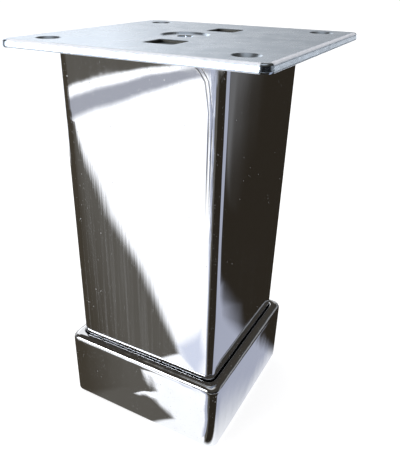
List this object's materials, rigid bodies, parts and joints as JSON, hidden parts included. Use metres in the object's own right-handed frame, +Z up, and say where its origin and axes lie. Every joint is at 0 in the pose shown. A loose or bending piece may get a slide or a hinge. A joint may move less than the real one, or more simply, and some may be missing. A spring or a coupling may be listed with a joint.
{
  "type": "adjustable furniture leg",
  "caption": "Square chromed furniture leg with a zinc-plated mounting plate on top, in a wider chromed foot whose levelling spindle raises it.",
  "frame": {"origin": "on the floor, below the centre of the mounting plate, with the leg fully lowered; the column's axis is 3.2 mm and 0.5 mm from it, at x -3.2, y -0.5", "axes": "+Z up the column to the mounting plate; +Y from one square window of the plate to the other"},
  "size_m": [0.09, 0.09, 0.15],
  "materials": {
    "chrome_steel": "mirror-polished chrome plate, lightly scratched",
    "zinc_plate": "satin zinc plate with handling marks",
    "plain_steel": "plain zinc-dipped steel",
    "black_nylon": "moulded black nylon",
    "pad_rubber": "matt rubber"
  },
  "bodies": {
    "foot": {"foot_skirt": "chrome_steel", "foot_base": "black_nylon", "guide_liner": "black_nylon", "glide_pad_1": "pad_rubber", "glide_pad_2": "pad_rubber", "glide_pad_3": "pad_rubber", "glide_pad_4": "pad_rubber", "base_screw_1": "plain_steel", "base_screw_2": "plain_steel", "base_screw_3": "plain_steel", "base_screw_4": "plain_steel"},
    "leg": {"mounting_plate": "zinc_plate", "plate_screw": "plain_steel", "clamp_washer": "plain_steel", "clamp_nut": "plain_steel", "column_tube": "chrome_steel", "top_bridge": "plain_steel", "lower_insert": "black_nylon", "threaded_bush": "plain_steel"},
    "spindle": {"spindle": "plain_steel", "retaining_clip": "plain_steel", "thrust_washer": "plain_steel", "stop_nut": "plain_steel"}
  },
  "joints": [
    {"name": "leg_lift", "type": "slide", "parent": "foot", "child": "leg", "axis": [0, 0, 1], "range_m": [0, 0.015]},
    {"name": "spindle_turn", "type": "hinge", "parent": "foot", "child": "spindle", "pos_m": [-0.0032, -0.0005, 0.01], "axis": [0, 0, -1], "range_deg": [0, 3601]}
  ],
  "couplings": [
    {"joint": "spindle_turn", "follows": "leg_lift", "rad_per_m": 4188.8}
  ]
}
